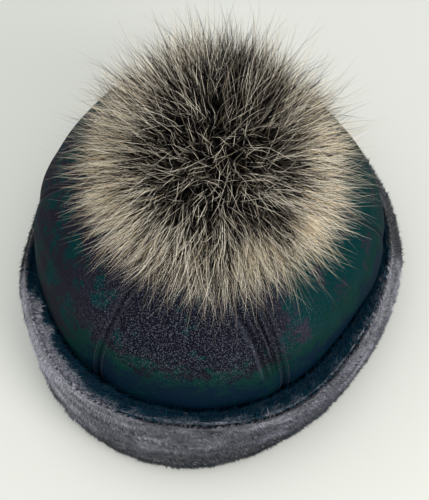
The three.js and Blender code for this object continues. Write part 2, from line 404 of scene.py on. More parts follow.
class NodeSheet:
    """A node tree while it is being drawn up."""

    def __init__(self, tree: bpy.types.NodeTree) -> None:
        """Takes up a tree."""
        self.tree = tree

    def put(self, socket: bpy.types.NodeSocket, value: object) -> None:
        """Links a wire to a socket, or sets its value."""
        if isinstance(value, Wire):
            self.tree.links.new(value.socket, socket)
        elif isinstance(value, tuple) and len(value) == 3 and socket.type == "RGBA":
            socket.default_value = (*value, 1.0)
        else:
            socket.default_value = value

    def node(self, kind: str, settings: dict[str, object] | None = None,
             inputs: dict[str | int, object] | None = None, output: str | int = 0) -> Wire:
        """Any node.

        Args:
            kind: the node's type.
            settings: its properties, set before its sockets.
            inputs: values or wires of its sockets, by name or place.
            output: which of its outputs is wanted.

        Returns:
            The wire of that output.
        """
        made = self.tree.nodes.new(kind)
        for key, value in (settings or {}).items():
            setattr(made, key, value)
        for key, value in (inputs or {}).items():
            self.put(made.inputs[key], value)
        return Wire(self, made.outputs[output])

    def maths(self, operation: str, first: object, second: object) -> Wire:
        """One Math node on two values or wires."""
        return self.node("ShaderNodeMath", {"operation": operation}, {0: first, 1: second})

    def vector(self, operation: str, first: object, second: object = (0.0, 0.0, 0.0)) -> Wire:
        """One Vector Math node on two vectors."""
        return self.node("ShaderNodeVectorMath", {"operation": operation}, {0: first, 1: second})

    def part(self, vector: Wire, place: int) -> Wire:
        """One of a vector's three numbers."""
        return self.node("ShaderNodeSeparateXYZ", {}, {0: vector}, place)


class ShaderSheet(NodeSheet):
    """The node tree of one material."""

    def __init__(self, name: str) -> None:
        """Starts an empty material with a Principled surface."""
        self.material = bpy.data.materials.new(name)
        self.material.use_nodes = True
        super().__init__(self.material.node_tree)
        self.tree.nodes.clear()
        self.surface = self.tree.nodes.new("ShaderNodeBsdfPrincipled")
        output = self.tree.nodes.new("ShaderNodeOutputMaterial")
        self.tree.links.new(self.surface.outputs[0], output.inputs["Surface"])

    def place(self, scale: float, stretch: tuple[float, float, float] = (1.0, 1.0, 1.0)) -> Wire:
        """Object coordinates, in cells of a size given in millimetres."""
        coordinates = self.node("ShaderNodeTexCoord", output="Object")
        return self.vector("MULTIPLY", coordinates, tuple(part / (scale * MM) for part in stretch))

    def noise(self, scale: float, detail: float = 2.0, rough: float = 0.5,
              stretch: tuple[float, float, float] = (1.0, 1.0, 1.0)) -> Wire:
        """Noise of 0 to 1 whose lumps are of a size given in millimetres."""
        inputs = {"Vector": self.place(scale, stretch), "Scale": 1.0, "Detail": detail, "Roughness": rough}
        return self.node("ShaderNodeTexNoise", {}, inputs)

    def cells(self, scale: float) -> Wire:
        """The distance pattern of pebbles of a size given in millimetres."""
        inputs = {"Vector": self.place(scale), "Scale": 1.0}
        return self.node("ShaderNodeTexVoronoi", {"feature": "F1"}, inputs)

    def value(self, name: str) -> Wire:
        """A named value that is stored on the piece's points."""
        return self.node("ShaderNodeAttribute", {"attribute_name": name}, output="Fac")

    def mix(self, share: object, first: object, second: object) -> Wire:
        """A colour between two."""
        inputs = {"Factor": share, 6: first, 7: second}
        return self.node("ShaderNodeMix", {"data_type": "RGBA", "clamp_factor": True}, inputs, output=2)

    def ramp(self, share: Wire, stops: Sequence[tuple[float, Colour]]) -> Wire:
        """A colour read along a row of (place, colour) stops."""
        made = self.tree.nodes.new("ShaderNodeValToRGB")
        while len(made.color_ramp.elements) < len(stops):
            made.color_ramp.elements.new(0.5)
        for element, (place, colour) in zip(made.color_ramp.elements, stops):
            element.position = place
            element.color = (*colour, 1.0)
        self.put(made.inputs[0], share)
        return Wire(self, made.outputs[0])

    def bump(self, height: Wire, distance: float, strength: float = 1.0, over: Wire | None = None) -> Wire:
        """A bump of a depth given in millimetres."""
        inputs: dict[str | int, object] = {"Height": height, "Distance": distance * MM, "Strength": strength}
        if over is not None:
            inputs["Normal"] = over
        return self.node("ShaderNodeBump", {}, inputs)

    def finish(self, **sockets: object) -> bpy.types.Material:
        """Fills the surface's sockets, named with underscores for spaces, and gives the material."""
        for name, value in sockets.items():
            self.put(self.surface.inputs[name.replace("_", " ")], value)
        return self.material


@dataclass(frozen=True)
class NappaFinish:
    """Dark coated sheepskin leather: pebbled, purple-black in front, teal at the flanks, navy by the cuff."""

    pebble: float = 0.85
    grain: float = 1.3
    violet: Colour = srgb(8, 11, 22)
    haze: Colour = srgb(40, 38, 50)
    teal: Colour = srgb(0, 46, 48)
    green: Colour = srgb(0, 44, 40)
    navy: Colour = srgb(0, 25, 44)
    # The colour of the painted highlight on the pebble tops and on the ridges.
    crest: Colour = srgb(104, 107, 120)
    # The colour of the painted shade in the creases of the folds and in the dip of the seams.
    pit: Colour = srgb(3, 3, 7)

    def material(self) -> bpy.types.Material:
        """The leather."""
        sheet = ShaderSheet("nappa")
        zone = sheet.value("flank")
        low = sheet.value("low")
        patch = sheet.noise(15, 5, 0.7)
        other = sheet.noise(9, 4, 0.7, (1.0, 1.0, 1.3))
        speck = sheet.noise(1.4, 2, 0.7)
        teal = (zone + (patch - 0.5) * 3.6 + (speck - 0.5) * 1.2).step(0.45, 0.65)
        green = (low * 1.7 + (other - 0.5) * 3.6 + (speck - 0.5) * 1.4).step(0.5, 0.8)
        navy = (low + (patch - 0.5) * 1.8 + (speck - 0.5) * 1.2).step(0.62, 0.98)
        violet = sheet.mix(zone * 1.3, self.violet, self.haze)
        flank = sheet.mix(green, sheet.mix(teal, violet, self.teal), self.green)
        base = sheet.mix(navy, flank, self.navy)
        pebble = sheet.cells(self.pebble)
        fine = sheet.noise(self.grain, 2, 0.55)
        dome = 1 - pebble
        # The pebble tops: their bump, their roughness and the mask of a painted highlight on them.
        glinting_pebble_tops = dome.step(0.46, 0.84) * (0.25 + fine.step(0.42, 0.66) * 0.85)
        lit = sheet.value("lit") * (0.55 + sheet.noise(22, 3) * 0.9)
        ridge = sheet.value("ridge")
        # Where painted shade darkens the creases and the seams' dip.
        groove = sheet.value("groove")
        # Painted highlight: glints on the pebble tops, strongest where the front is lit, and along the
        # ridges.
        painted_highlight = glinting_pebble_tops * (0.06 + lit * 1.05) * (1 - groove * 0.8) + ridge * 0.3 * (0.5 + fine)
        colour = sheet.mix(painted_highlight, sheet.mix(groove, base, self.pit), self.crest)
        wrinkle = sheet.noise(3.4, 3, 0.6)
        relief = sheet.bump(dome * 0.6 + glinting_pebble_tops, 0.35, 1.0, sheet.bump(wrinkle, 0.5, 0.4))
        rough = 0.72 - glinting_pebble_tops * 0.12
        return sheet.finish(Base_Color=colour, Roughness=rough, Normal=relief, Specular_IOR_Level=0.04)


@dataclass(frozen=True)
class ThreadFinish:
    """Dark sewing thread."""

    colour: Colour = srgb(22, 24, 33)
    light: Colour = srgb(52, 54, 66)

    def material(self) -> bpy.types.Material:
        """The thread, with the twist of its plies."""
        sheet = ShaderSheet("thread")
        twist = sheet.noise(0.35, 2)
        colour = sheet.mix(twist.step(0.35, 0.65), self.colour, self.light)
        return sheet.finish(Base_Color=colour, Roughness=0.6, Normal=sheet.bump(twist, 0.08))


@dataclass(frozen=True)
class WoolFinish:
    """The ground of sheared wool under its fibres. Its tone is stored on the points."""

    name: str
    dark: Colour
    light: Colour
    sheen: float = 0.35

    def material(self) -> bpy.types.Material:
        """The wool."""
        sheet = ShaderSheet(self.name)
        tone = sheet.value("tone")
        clump = sheet.noise(2.6, 3, 0.6, (0.25, 0.25, 1.0))
        fibre = sheet.noise(0.7, 2, 0.7)
        share = tone + (clump - 0.5) * 1.2 + (fibre - 0.5) * 0.5
        colour = sheet.mix(share.step(0.1, 0.95), self.dark, self.light)
        relief = sheet.bump(fibre + clump * 0.8, 0.8, 0.9)
        return sheet.finish(Base_Color=colour, Roughness=0.95, Normal=relief, Sheen_Weight=self.sheen,
                            Sheen_Roughness=0.6, Specular_IOR_Level=0.2)


@dataclass(frozen=True)
class HairFinish:
    """Hair whose own map holds its shade across and the way from root to tip along.

    Attributes:
        name: the material's name.
        shades: colours of the outer part of a hair, by its shade.
        root: the colour of its root.
        root_ends: where the root's colour ends, along the hair.
        tip: how much paler the last stretch is, from 0 to 1.
        rough: its roughness.
        sheen: how much it shimmers at its edges.
        gloss: how strongly it reflects.
        bleached: the colour of a pale tip.
    """

    name: str
    shades: tuple[tuple[float, Colour], ...]
    root: Colour
    root_ends: tuple[float, float]
    tip: float = 0.0
    rough: float = 0.55
    sheen: float = 0.0
    gloss: float = 0.3
    bleached: Colour = srgb(226, 218, 205)

    def material(self) -> bpy.types.Material:
        """The hair."""
        sheet = ShaderSheet(self.name)
        uv = sheet.node("ShaderNodeUVMap", {"uv_map": UV_NAME})
        along = sheet.part(uv, 1)
        body = sheet.ramp(sheet.part(uv, 0), self.shades)
        colour = sheet.mix(along.step(*self.root_ends), self.root, body)
        pale = sheet.mix(along.step(0.75, 1.0) * self.tip, colour, self.bleached)
        return sheet.finish(Base_Color=pale, Roughness=self.rough, Specular_IOR_Level=self.gloss,
                            Sheen_Weight=self.sheen)


@dataclass(frozen=True)
class PlainFinish:
    """A plain matt finish with a faint mottle."""

    name: str
    first: Colour
    second: Colour
    lump: float = 40.0
    rough: float = 0.9

    def material(self) -> bpy.types.Material:
        """The finish."""
        sheet = ShaderSheet(self.name)
        colour = sheet.mix(sheet.noise(self.lump, 2), self.first, self.second)
        return sheet.finish(Base_Color=colour, Roughness=self.rough, Specular_IOR_Level=0.25)


class GrowingTree(NodeSheet):
    """A Geometry Nodes tree, with its named inputs."""

    def __init__(self, name: str) -> None:
        """Starts an empty tree with one geometry going in and one coming out."""
        super().__init__(bpy.data.node_groups.new(name, "GeometryNodeTree"))
        for way in ("INPUT", "OUTPUT"):
            self.tree.interface.new_socket("Geometry", in_out=way, socket_type="NodeSocketGeometry")
        self.inside = self.tree.nodes.new("NodeGroupInput")
        self.outside = self.tree.nodes.new("NodeGroupOutput")
        self.geometry = Wire(self, self.inside.outputs["Geometry"])
        self.identifiers: dict[str, str] = {}

    def asked(self, name: str, kind: str = "NodeSocketFloat") -> Wire:
        """A new named input of the tree."""
        made = self.tree.interface.new_socket(name, in_out="INPUT", socket_type=kind)
        self.identifiers[name] = made.identifier
        return Wire(self, self.inside.outputs[name])

    def scaled(self, vector: object, share: object) -> Wire:
        """A vector times a number."""
        return self.node("ShaderNodeVectorMath", {"operation": "SCALE"}, {0: vector, "Scale": share})

    def combined(self, first: object, second: object, third: object = 0.0) -> Wire:
        """A vector of three numbers."""
        return self.node("ShaderNodeCombineXYZ", {}, {0: first, 1: second, 2: third})

    def stored(self, name: str, kind: str = "FLOAT") -> Wire:
        """A named value that the geometry carries."""
        return self.node("GeometryNodeInputNamedAttribute", {"data_type": kind}, {"Name": name})

    def store(self, geometry: Wire, name: str, value: Wire, kind: str = "FLOAT",
              domain: str = "POINT") -> Wire:
        """The geometry with a named value stored on it."""
        return self.node("GeometryNodeStoreNamedAttribute", {"data_type": kind, "domain": domain},
                         {"Geometry": geometry, "Name": name, "Value": value})

    def random(self, low: object, high: object, seed: Wire) -> Wire:
        """A random number for each element."""
        inputs = {2: low, 3: high, "Seed": seed}
        return self.node("FunctionNodeRandomValue", {"data_type": "FLOAT"}, inputs, 1)

    def random_way(self, seed: Wire) -> Wire:
        """A random vector for each element, with parts of -1 to 1."""
        inputs = {0: (-1.0, -1.0, -1.0), 1: (1.0, 1.0, 1.0), "Seed": seed}
        return self.node("FunctionNodeRandomValue", {"data_type": "FLOAT_VECTOR"}, inputs)

    def turned(self, axis: str, way: Wire, pivot: str = "AUTO", start: Wire | None = None) -> Wire:
        """The rotation that points an axis a way.

        Args:
            axis: the axis that is pointed.
            way: where it points.
            pivot: the axis that it turns round.
            start: the rotation that it starts from.

        Returns:
            The rotation.
        """
        inputs = {"Vector": way} if start is None else {"Vector": way, "Rotation": start}
        return self.node("FunctionNodeAlignRotationToVector", {"axis": axis, "pivot_axis": pivot}, inputs)

    def instances(self, points: Wire, instance: Wire, rotation: Wire, scale: Wire) -> Wire:
        """One shape on each point."""
        inputs = {"Points": points, "Instance": instance, "Rotation": rotation, "Scale": scale}
        return self.node("GeometryNodeInstanceOnPoints", {}, inputs)

    def realized(self, geometry: Wire) -> Wire:
        """The geometry with its instances made real."""
        return self.node("GeometryNodeRealizeInstances", {}, {"Geometry": geometry})

    def close(self, geometry: Wire) -> None:
        """Realizes the instances, sets the material and ends the tree."""
        asked = self.asked("Material", "NodeSocketMaterial")
        inputs = {"Geometry": self.realized(geometry), "Material": asked}
        self.put(self.outside.inputs[0], self.node("GeometryNodeSetMaterial", {}, inputs))

    def grow(self, source: bpy.types.Object, name: str, values: dict[str, object]) -> bpy.types.Object:
        """Runs the tree on an object and keeps the result as a plain mesh.

        Args:
            source: the object whose mesh goes in.
            name: the name of the new piece.
            values: the tree's inputs by name.

        Returns:
            The new object, at the origin, with no modifier.
        """
        modifier = source.modifiers.new(name, "NODES")
        modifier.node_group = self.tree
        for key, value in values.items():
            modifier[self.identifiers[key]] = value
        source.update_tag()
        bpy.context.view_layer.update()
        evaluated = source.evaluated_get(bpy.context.evaluated_depsgraph_get())
        mesh = bpy.data.meshes.new_from_object(evaluated)
        mesh.name = name
        source.modifiers.remove(modifier)
        return placed(name, mesh)


def hair_tree() -> GrowingTree:
    """The tree that grows hair on a surface.

    The surface's points carry `grow`, the way a hair leans, `reach`, its length in metres, `cover`, how
    thickly hair stands, `stray`, how unruly it is, and `tone`, its shade. Each hair is a closed three-sided
    spike that bends.

    Returns:
        The tree, with an input for each row of a Coat.
    """
    tree = GrowingTree("growing hair")
    width, mottle = tree.asked("Width"), tree.asked("Mottle")
    seed = tree.asked("Seed", "NodeSocketInt")
    position = tree.node("GeometryNodeInputPosition")
    roots = tree.node("GeometryNodeDistributePointsOnFaces", {"distribute_method": "RANDOM"}, {
        "Mesh": tree.geometry, "Density": tree.asked("Density") * tree.stored("cover"), "Seed": seed})
    length = tree.stored("reach") * tree.random(tree.asked("Shortest"), tree.asked("Longest"), seed)
    astray = tree.scaled(tree.random_way(seed + 1.0), tree.asked("Spread") * tree.stored("stray"))
    way = tree.vector("NORMALIZE", tree.vector("ADD", tree.stored("grow", "FLOAT_VECTOR"), astray))
    cell = tree.node("ShaderNodeTexVoronoi", {"feature": "F1"},
                     {"Vector": position, "Scale": tree.asked("Clumps")}, "Position")
    gather = tree.asked("Gather") * tree.random(0.35, 1.0, seed + 4.0)
    pull = tree.scaled(tree.vector("SUBTRACT", cell, position), gather)
    drop = tree.scaled((0.0, 0.0, -1.0), length * tree.asked("Droop"))
    swing = tree.scaled(tree.random_way(seed + 2.0), length * tree.asked("Curl"))
    bend = tree.vector("ADD", tree.vector("ADD", pull, drop), swing)
    patches = tree.vector("MULTIPLY", position, tree.asked("Streaks", "NodeSocketVector"))
    streak = tree.node("ShaderNodeTexNoise", {}, {"Vector": patches, "Scale": 1.0, "Detail": 2.0})
    shade = tree.stored("tone") + tree.random(mottle * -1.0, mottle, seed + 3.0)
    shade = shade + (streak - 0.5) * tree.asked("Streaking")
    kept = tree.store(roots, "bend", bend, "FLOAT_VECTOR")
    kept = tree.store(kept, "swing", tree.vector("CROSS_PRODUCT", swing, way), "FLOAT_VECTOR")
    kept = tree.store(kept, "shade", shade)
    spike = tree.node("GeometryNodeMeshCone", {"fill_type": "NGON"}, {
        "Vertices": 3, "Side Segments": tree.asked("Joints", "NodeSocketInt"), "Radius Top": 0.0,
        "Radius Bottom": 1.0, "Depth": 1.0})
    height = tree.part(position, 2)
    spike = tree.store(spike, "along", height)
    spike = tree.store(spike, "side", tree.part(position, 0))
    fuller = tree.maths("MAXIMUM", 1.0 - height, 0.01) ** tree.asked("Fullness")
    filled = tree.vector("MULTIPLY", position, tree.combined(fuller, fuller, 1.0))
    spike = tree.node("GeometryNodeSetPosition", {}, {"Geometry": spike, "Position": filled})
    hairs = tree.instances(kept, spike, tree.turned("Z", way), tree.combined(width, width, length))
    along = tree.stored("along")
    wave = (along ** 3.0 - along) * tree.asked("Wave")
    offset = tree.vector("ADD", tree.scaled(tree.stored("bend", "FLOAT_VECTOR"), along ** 1.6),
                         tree.scaled(tree.stored("swing", "FLOAT_VECTOR"), wave))
    above = tree.vector("MAXIMUM", tree.vector("ADD", position, offset), (-1.0, -1.0, 0.3 * MM))
    bent = tree.node("GeometryNodeSetPosition", {}, {"Geometry": tree.realized(hairs), "Position": above})
    across = tree.stored("shade") + tree.stored("side") * SHADE_EDGE
    across = tree.node("ShaderNodeClamp", {}, {0: across, 1: SHADE_EDGE, 2: 1 - SHADE_EDGE})
    mapped = tree.store(bent, UV_NAME, tree.combined(across, along), "FLOAT2", "CORNER")
    for name in ("bend", "swing", "shade", "along", "side"):
        mapped = tree.node("GeometryNodeRemoveAttribute", {}, {"Geometry": mapped, "Name": name})
    tree.close(mapped)
    return tree


def stitch_tree() -> GrowingTree:
    """The tree that sews stitches along a line whose points carry `up`, the way out of the skin.

    Returns:
        The tree, with inputs for the pitch, the length and the thickness of a stitch.
    """
    tree = GrowingTree("sewing")
    line = tree.node("GeometryNodeMeshToCurve", {}, {"Mesh": tree.geometry})
    spacing = {"Curve": line, "Length": tree.asked("Pitch")}
    even = tree.node("GeometryNodeResampleCurve", {"mode": "LENGTH"}, spacing)
    bead = tree.node("GeometryNodeMeshUVSphere", {}, {"Segments": 6, "Rings": 4, "Radius": 0.5})
    thick = tree.asked("Thickness")
    upright = tree.turned("Z", tree.stored("up", "FLOAT_VECTOR"))
    sewn = tree.turned("X", tree.node("GeometryNodeInputTangent"), "Z", upright)
    tree.close(tree.instances(even, bead, sewn, tree.combined(tree.asked("Stitch"), thick, thick)))
    return tree


@dataclass
class Piece:
    """One finished piece and what it stands for."""

    made: bpy.types.Object
    slot: str
    stands_for: tuple[str, ...] = ()

    def declare(self) -> None:
        """Rides the piece on the hat, hides the solids it stands for and logs its triangles."""
        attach(self.made, BODY)
        if self.stands_for:
            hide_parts(*self.stands_for)
        faces = sum(len(p.vertices) - 2 for p in self.made.data.polygons)
        LOG.info("%s: %d triangles", self.made.name, faces)


def dressed(made: bpy.types.Object, material: bpy.types.Material) -> bpy.types.Object:
    """The object with that one material."""
    made.data.materials.clear()
    made.data.materials.append(material)
    return made


@dataclass
class Crown:
    """The six gores: a leather skin each, one lining of wool, and the sewing at the seams."""

    skin: float = 1.8
    length: float = 190.0
    typical_width: float = 95.0
    wall: float = 7.0
    columns: int = 60
    creased_columns: int = 104
    inner_columns: int = 6
    crowd_samples: int = 2000
    rows: int = 92
    seam_gap: float = 0.02
    crease: float = 0.34
    crease_reach: float = 1.1
    pucker: float = 0.2
    pucker_pitch: float = 6.5
    dent: float = 0.8
    small_dent: float = 0.25
    puff: float = 0.9
    zones_turn: float = 2.0
    teal_right: Fade = (26, 46)
    teal_right_ends: Fade = (178, 130)
    teal_left: Fade = (22, 50)
    teal_back: Fade = (110, 150)
    navy_up: Fade = (0.555, 0.325)
    navy_left: Fade = (28, 52)
    navy_left_ends: Fade = (150, 110)
    lit_round: Fade = (62, 14)
    lit_up: Fade = (0.4, 0.51)
    seam_lit_up: Fade = (0.42, 0.6)
    folds_start: Fade = (0.36, 0.46)
    folds_fade: Fade = (0.8, 0.95)
    folds_widen: Fade = (0.45, 0.8)
    lining_rows: int = 40
    lining_steps: int = 96
    lining_middle: float = 40.0
    lining_lump: float = 0.5
    pile: float = 2.6
    stitch_off: float = 2.6
    stitch_pitch: float = 3.0
    stitch_long: float = 2.1
    stitch_thick: float = 0.5
    fold_rows: tuple[tuple[float, float, float], ...] = (
        (3.2, 1.0, 0.7), (6.2, 1.1, 0.8), (9.6, 0.7, 0.9), (14.5, 0.8, 1.3))

    def relief(self, azimuth: Array, along: Array, left: Array, right: Array) -> Array:
        """How far the skin sinks below its plain form: creases, puckers and dents.

        Args:
            azimuth: degrees from the front.
            along: from the lower edge to the tip.
            left: distance to the gore's left seam.
            right: distance to its right seam.

        Returns:
            The depth at each place.
        """
        arc = np.radians(azimuth) * FORM.outline(along)[..., 0]
        near = np.minimum(left, right)
        up = along * self.length
        sunk = self.crease * np.exp(-((near / self.crease_reach) ** 2))
        wave = np.sin(up / self.pucker_pitch * 2 * math.pi + 2 * Ripples(5, 30).at(up, arc * 0.2))
        sunk += self.pucker * wave * np.exp(-near / 5) * smooth(near, 0.6, 2.2)
        sunk += self.dent * Ripples(11, 62).at(arc, up) * smooth(near, 0, 20)
        sunk += self.small_dent * Ripples(12, 24).at(arc, up) * smooth(near, 2, 14)
        middle = np.clip(left / np.maximum(left + right, 1e-6), 0, 1)
        return sunk - self.puff * np.sin(np.pi * middle) ** 0.7

    def folds(self, along: Array, right: Array) -> Array:
        """The rows of narrow folds beside the front gore's right seam.

        Args:
            along: from the lower edge to the tip.
            right: distance to the right seam.

        Returns:
            The depth at each place, below nought on the ridges between folds.
        """
        sunk = np.zeros(along.shape)
        reach = smooth(along, *self.folds_start) * (1 - 0.3 * smooth(along, *self.folds_fade))
        for k, (off, depth, width) in enumerate(self.fold_rows):
            wander = 0.5 * Ripples(20 + k, 40).at(along * self.length, 0.0)
            centre = off * (0.72 + 0.4 * smooth(along, *self.folds_widen)) + wander
            groove = np.exp(-(((right - centre) / width) ** 2))
            ridge = np.exp(-(((right - centre - 1.7 * width) / (0.8 * width)) ** 2))
            sunk = sunk + depth * reach * (groove - 0.3 * ridge)
        return sunk

    def crowded(self, creased: bool) -> Array:
        """Where a gore's columns stand across its width, from 0 to 1.

        Args:
            creased: whether they crowd at the right as well as at the seams.

        Returns:
            The columns' places.
        """
        share = np.linspace(0, 1, self.crowd_samples)
        off = np.minimum(share, 1 - share) * self.typical_width
        crowd = 1 + 9 * np.exp(-((off / 2.5) ** 2))
        if creased:
            crowd += 5 * smooth((1 - share) * self.typical_width, 24, 14)
        total = np.cumsum(crowd)
        total = (total - total[0]) / (total[-1] - total[0])
        return np.interp(np.linspace(0, 1, self.creased_columns if creased else self.columns), total, share)

    def gore(self, part: Gore) -> Shell:
        """The leather skin of one gore, closed round its turned edges.

        Args:
            part: which gore.

        Returns:
            The shell, with the values that its leather reads.
        """
        along = np.linspace(0, 1, self.rows)[:, None]
        outer = self.crowded(part is Gore.FRONT)
        inner = np.linspace(1, 0, self.inner_columns)
        across = np.concatenate([outer, inner])
        deep = np.repeat((0.0, self.skin), (len(outer), len(inner)))
        left, right = FORM.seam_azimuth(part.value, along), FORM.seam_azimuth(part.value + 1, along)
        radius = FORM.outline(along)[..., 0]
        gap = np.degrees(self.seam_gap / radius)
        azimuth = (left + gap) * (1 - across) + (right - gap) * across
        to_left, to_right = np.radians(azimuth - left) * radius, np.radians(right - azimuth) * radius
        near = np.minimum(to_left, to_right)
        along = np.broadcast_to(along, azimuth.shape)
        folds = self.folds(along, to_right) if part is Gore.FRONT else np.zeros(azimuth.shape)
        values = self.zones(azimuth, along)
        high = 0.3 + 0.7 * smooth(along, *self.seam_lit_up)
        # Painted highlight on the ridges between the folds and beside the seams, brighter higher up.
        values["ridge"] = np.clip(-folds * 3, 0, 1) + 0.35 * high * np.exp(-(((near - 1.7) / 0.7) ** 2))
        # Painted shade in the creases of the folds and in the dip of the seams.
        values["groove"] = np.clip(np.clip(folds, 0, 1) + 0.55 * np.exp(-((near / 0.9) ** 2)), 0, 1) * 0.8
        relief = self.relief(azimuth, along, to_left, to_right)
        grid = FORM.crown(azimuth, along, relief + folds + deep)
        return Shell.from_grid(f"skin_{part.name.lower()}", grid, len(outer), values)

    def zones(self, azimuth: Array, along: Array) -> dict[str, Array]:
        """Where the leather turns teal at the flanks and navy by the cuff, and where its crests are lit.

        Args:
            azimuth: degrees from the front.
            along: from the lower edge to the tip.

        Returns:
            The shares of each, by the name that the leather reads.
        """
        turn = side(azimuth) - self.zones_turn
        right = smooth(turn, *self.teal_right) * smooth(turn, *self.teal_right_ends)
        flank = 0.12 + 0.85 * right + 0.3 * smooth(-turn, *self.teal_left)
        flank = flank + 0.6 * smooth(np.abs(turn), *self.teal_back)
        left = smooth(-turn, *self.navy_left) * smooth(-turn, *self.navy_left_ends)
        low = smooth(along, *self.navy_up) * (1 - 0.8 * left)
        lit = smooth(np.abs(turn), *self.lit_round) * smooth(along, *self.lit_up)
        return {"flank": flank, "low": low, "lit": lit}

    def lining(self) -> Shell:
        """The ground of the wool inside, from behind the skin to the inner face."""
        turn = -np.linspace(0, FULL_TURN, self.lining_steps, endpoint=False)[:, None]
        up = np.linspace(0.0, 1.0, self.lining_rows)
        inner = np.repeat((0.0, 1.0), self.lining_rows)
        depth = np.where(inner > 0, self.wall - 1.2, self.skin + 0.4)
        turn, along = np.broadcast_arrays(turn, np.concatenate([up, up[::-1]]))
        spread = (turn * 1.7, along * self.length)
        grid = FORM.crown(turn, along, depth + self.lining_lump * Ripples(31, 9).at(*spread) * inner)
        inwards = unit(np.array([0.0, 0.0, self.lining_middle]) - grid)
        values = {
            "tone": 0.45 + 0.3 * Ripples(32, 14).at(*spread),
            "cover": inner * (1 - smooth(along, 0.97, 1.0)),
            "grow": unit(inwards + 0.5 * Ripples(33, 20).at(*spread)[..., None]),
            "stray": np.ones(turn.shape),
            "reach": np.full(turn.shape, self.pile * MM),
        }
        mirrored = {key: value[:, ::-1] for key, value in values.items()}
        return Shell.from_grid("lining_ground", grid[:, ::-1], 0, mirrored)

    def stitch_lines(self) -> Shell:
        """The lines that the seams' topstitching follows, on both sides of each seam."""
        along = np.linspace(0.22, 0.93, 160)
        off = np.degrees(self.stitch_off / FORM.outline(along)[..., 0])
        near, far = np.full(along.shape, self.stitch_off), np.full(along.shape, 60.0)
        lines, ups = [], []
        for k in range(len(Gore)):
            for way, ends in ((-1, (far, near)), (1, (near, far))):
                azimuth = FORM.seam_azimuth(k, along) + off * way
                depth = self.relief(azimuth, along, *ends)
                lines.append(FORM.crown(azimuth, along, depth - 0.12))
                ups.append(unit(lines[-1] - FORM.crown(azimuth, along, depth + 2)))
        steps = len(along)
        edges = [(i, i + 1) for i in range(len(lines) * steps - 1) if (i + 1) % steps]
        return Shell("stitch_lines", np.concatenate(lines), [], {"up": np.concatenate(ups)}, edges)

    def pieces(self, hair: GrowingTree, sewing: GrowingTree) -> list[Piece]:
        """Builds and dresses the crown.

        Args:
            hair: the tree that grows hair.
            sewing: the tree that sews stitches.

        Returns:
            The finished pieces.
        """
        nappa = NappaFinish().material()
        skins = [Piece(dressed(self.gore(part).build(), nappa), "nappa", (part.node,)) for part in Gore]
        felt = WoolFinish("lining ground", srgb(16, 22, 32), srgb(70, 74, 84)).material()
        ground = dressed(self.lining().build(), felt)
        coat = Coat(14000, 0.5, 0.7, 1.3, 0.6, 0.0, 0.2, 260, 0.3, 0.25, 1, 71)
        fuzz = grown(hair, ground, "lining_wool", LINING_HAIR.material(), coat)
        carrier = self.stitch_lines().build()
        sewn = sewing.grow(carrier, "seam_stitches", {
            "Pitch": self.stitch_pitch * MM, "Stitch": self.stitch_long * MM,
            "Thickness": self.stitch_thick * MM, "Material": ThreadFinish().material()})
        bpy.data.objects.remove(carrier)
        return [*skins, Piece(ground, "sheared_wool"), Piece(fuzz, "sheared_wool"), Piece(sewn, "nappa")]


@dataclass(frozen=True)
class Coat:
    """How a coat of hair grows: sizes in millimetres, shares of a hair's length, and counts.

    Attributes:
        count: how many hairs, about.
        width: half the thickness of a hair at its root.
        shortest: the shortest hair, as a share of the reach.
        longest: the longest hair, as a share of the reach.
        spread: how far hairs stray from the way they are combed.
        droop: how far tips hang down.
        curl: how far hairs bend aside.
        clumps: clumps in a metre.
        gather: how far tips draw together in a clump.
        mottle: how far a hair's shade strays.
        joints: how many lengths a hair is made of.
        seed: the seed of its chances.
        streaks: lumps in a metre of the pattern that its shade follows.
        streaking: how far its shade follows that pattern.
        fullness: how little it tapers, from 0 for a plain spike down to -0.7.
        wave: how far it waves, in its bends.
    """

    count: int
    width: float
    shortest: float
    longest: float
    spread: float
    droop: float
    curl: float
    clumps: float
    gather: float
    mottle: float
    joints: int
    seed: int
    streaks: tuple[float, float, float] = (50.0, 50.0, 50.0)
    streaking: float = 0.0
    fullness: float = -0.6
    wave: float = 1.4


def grown(tree: GrowingTree, ground: bpy.types.Object, name: str, material: bpy.types.Material,
          coat: Coat) -> bpy.types.Object:
    """A coat of hair on a ground.

    Args:
        tree: the tree that grows hair.
        ground: the object it grows on, whose points carry `cover`.
        name: the name of the new piece.
        material: what the hair is dressed with.
        coat: how it grows.

    Returns:
        The hair, as one mesh.
    """
    mesh = ground.data
    cover = np.zeros(len(mesh.vertices))
    mesh.attributes["cover"].data.foreach_get("value", cover)
    area = sum(p.area * cover[list(p.vertices)].mean() for p in mesh.polygons)
    values = {key.capitalize(): value for key, value in vars(coat).items() if key != "count"}
    values.update({"Density": coat.count / area, "Width": coat.width * MM, "Material": material})
    return tree.grow(ground, name, values)


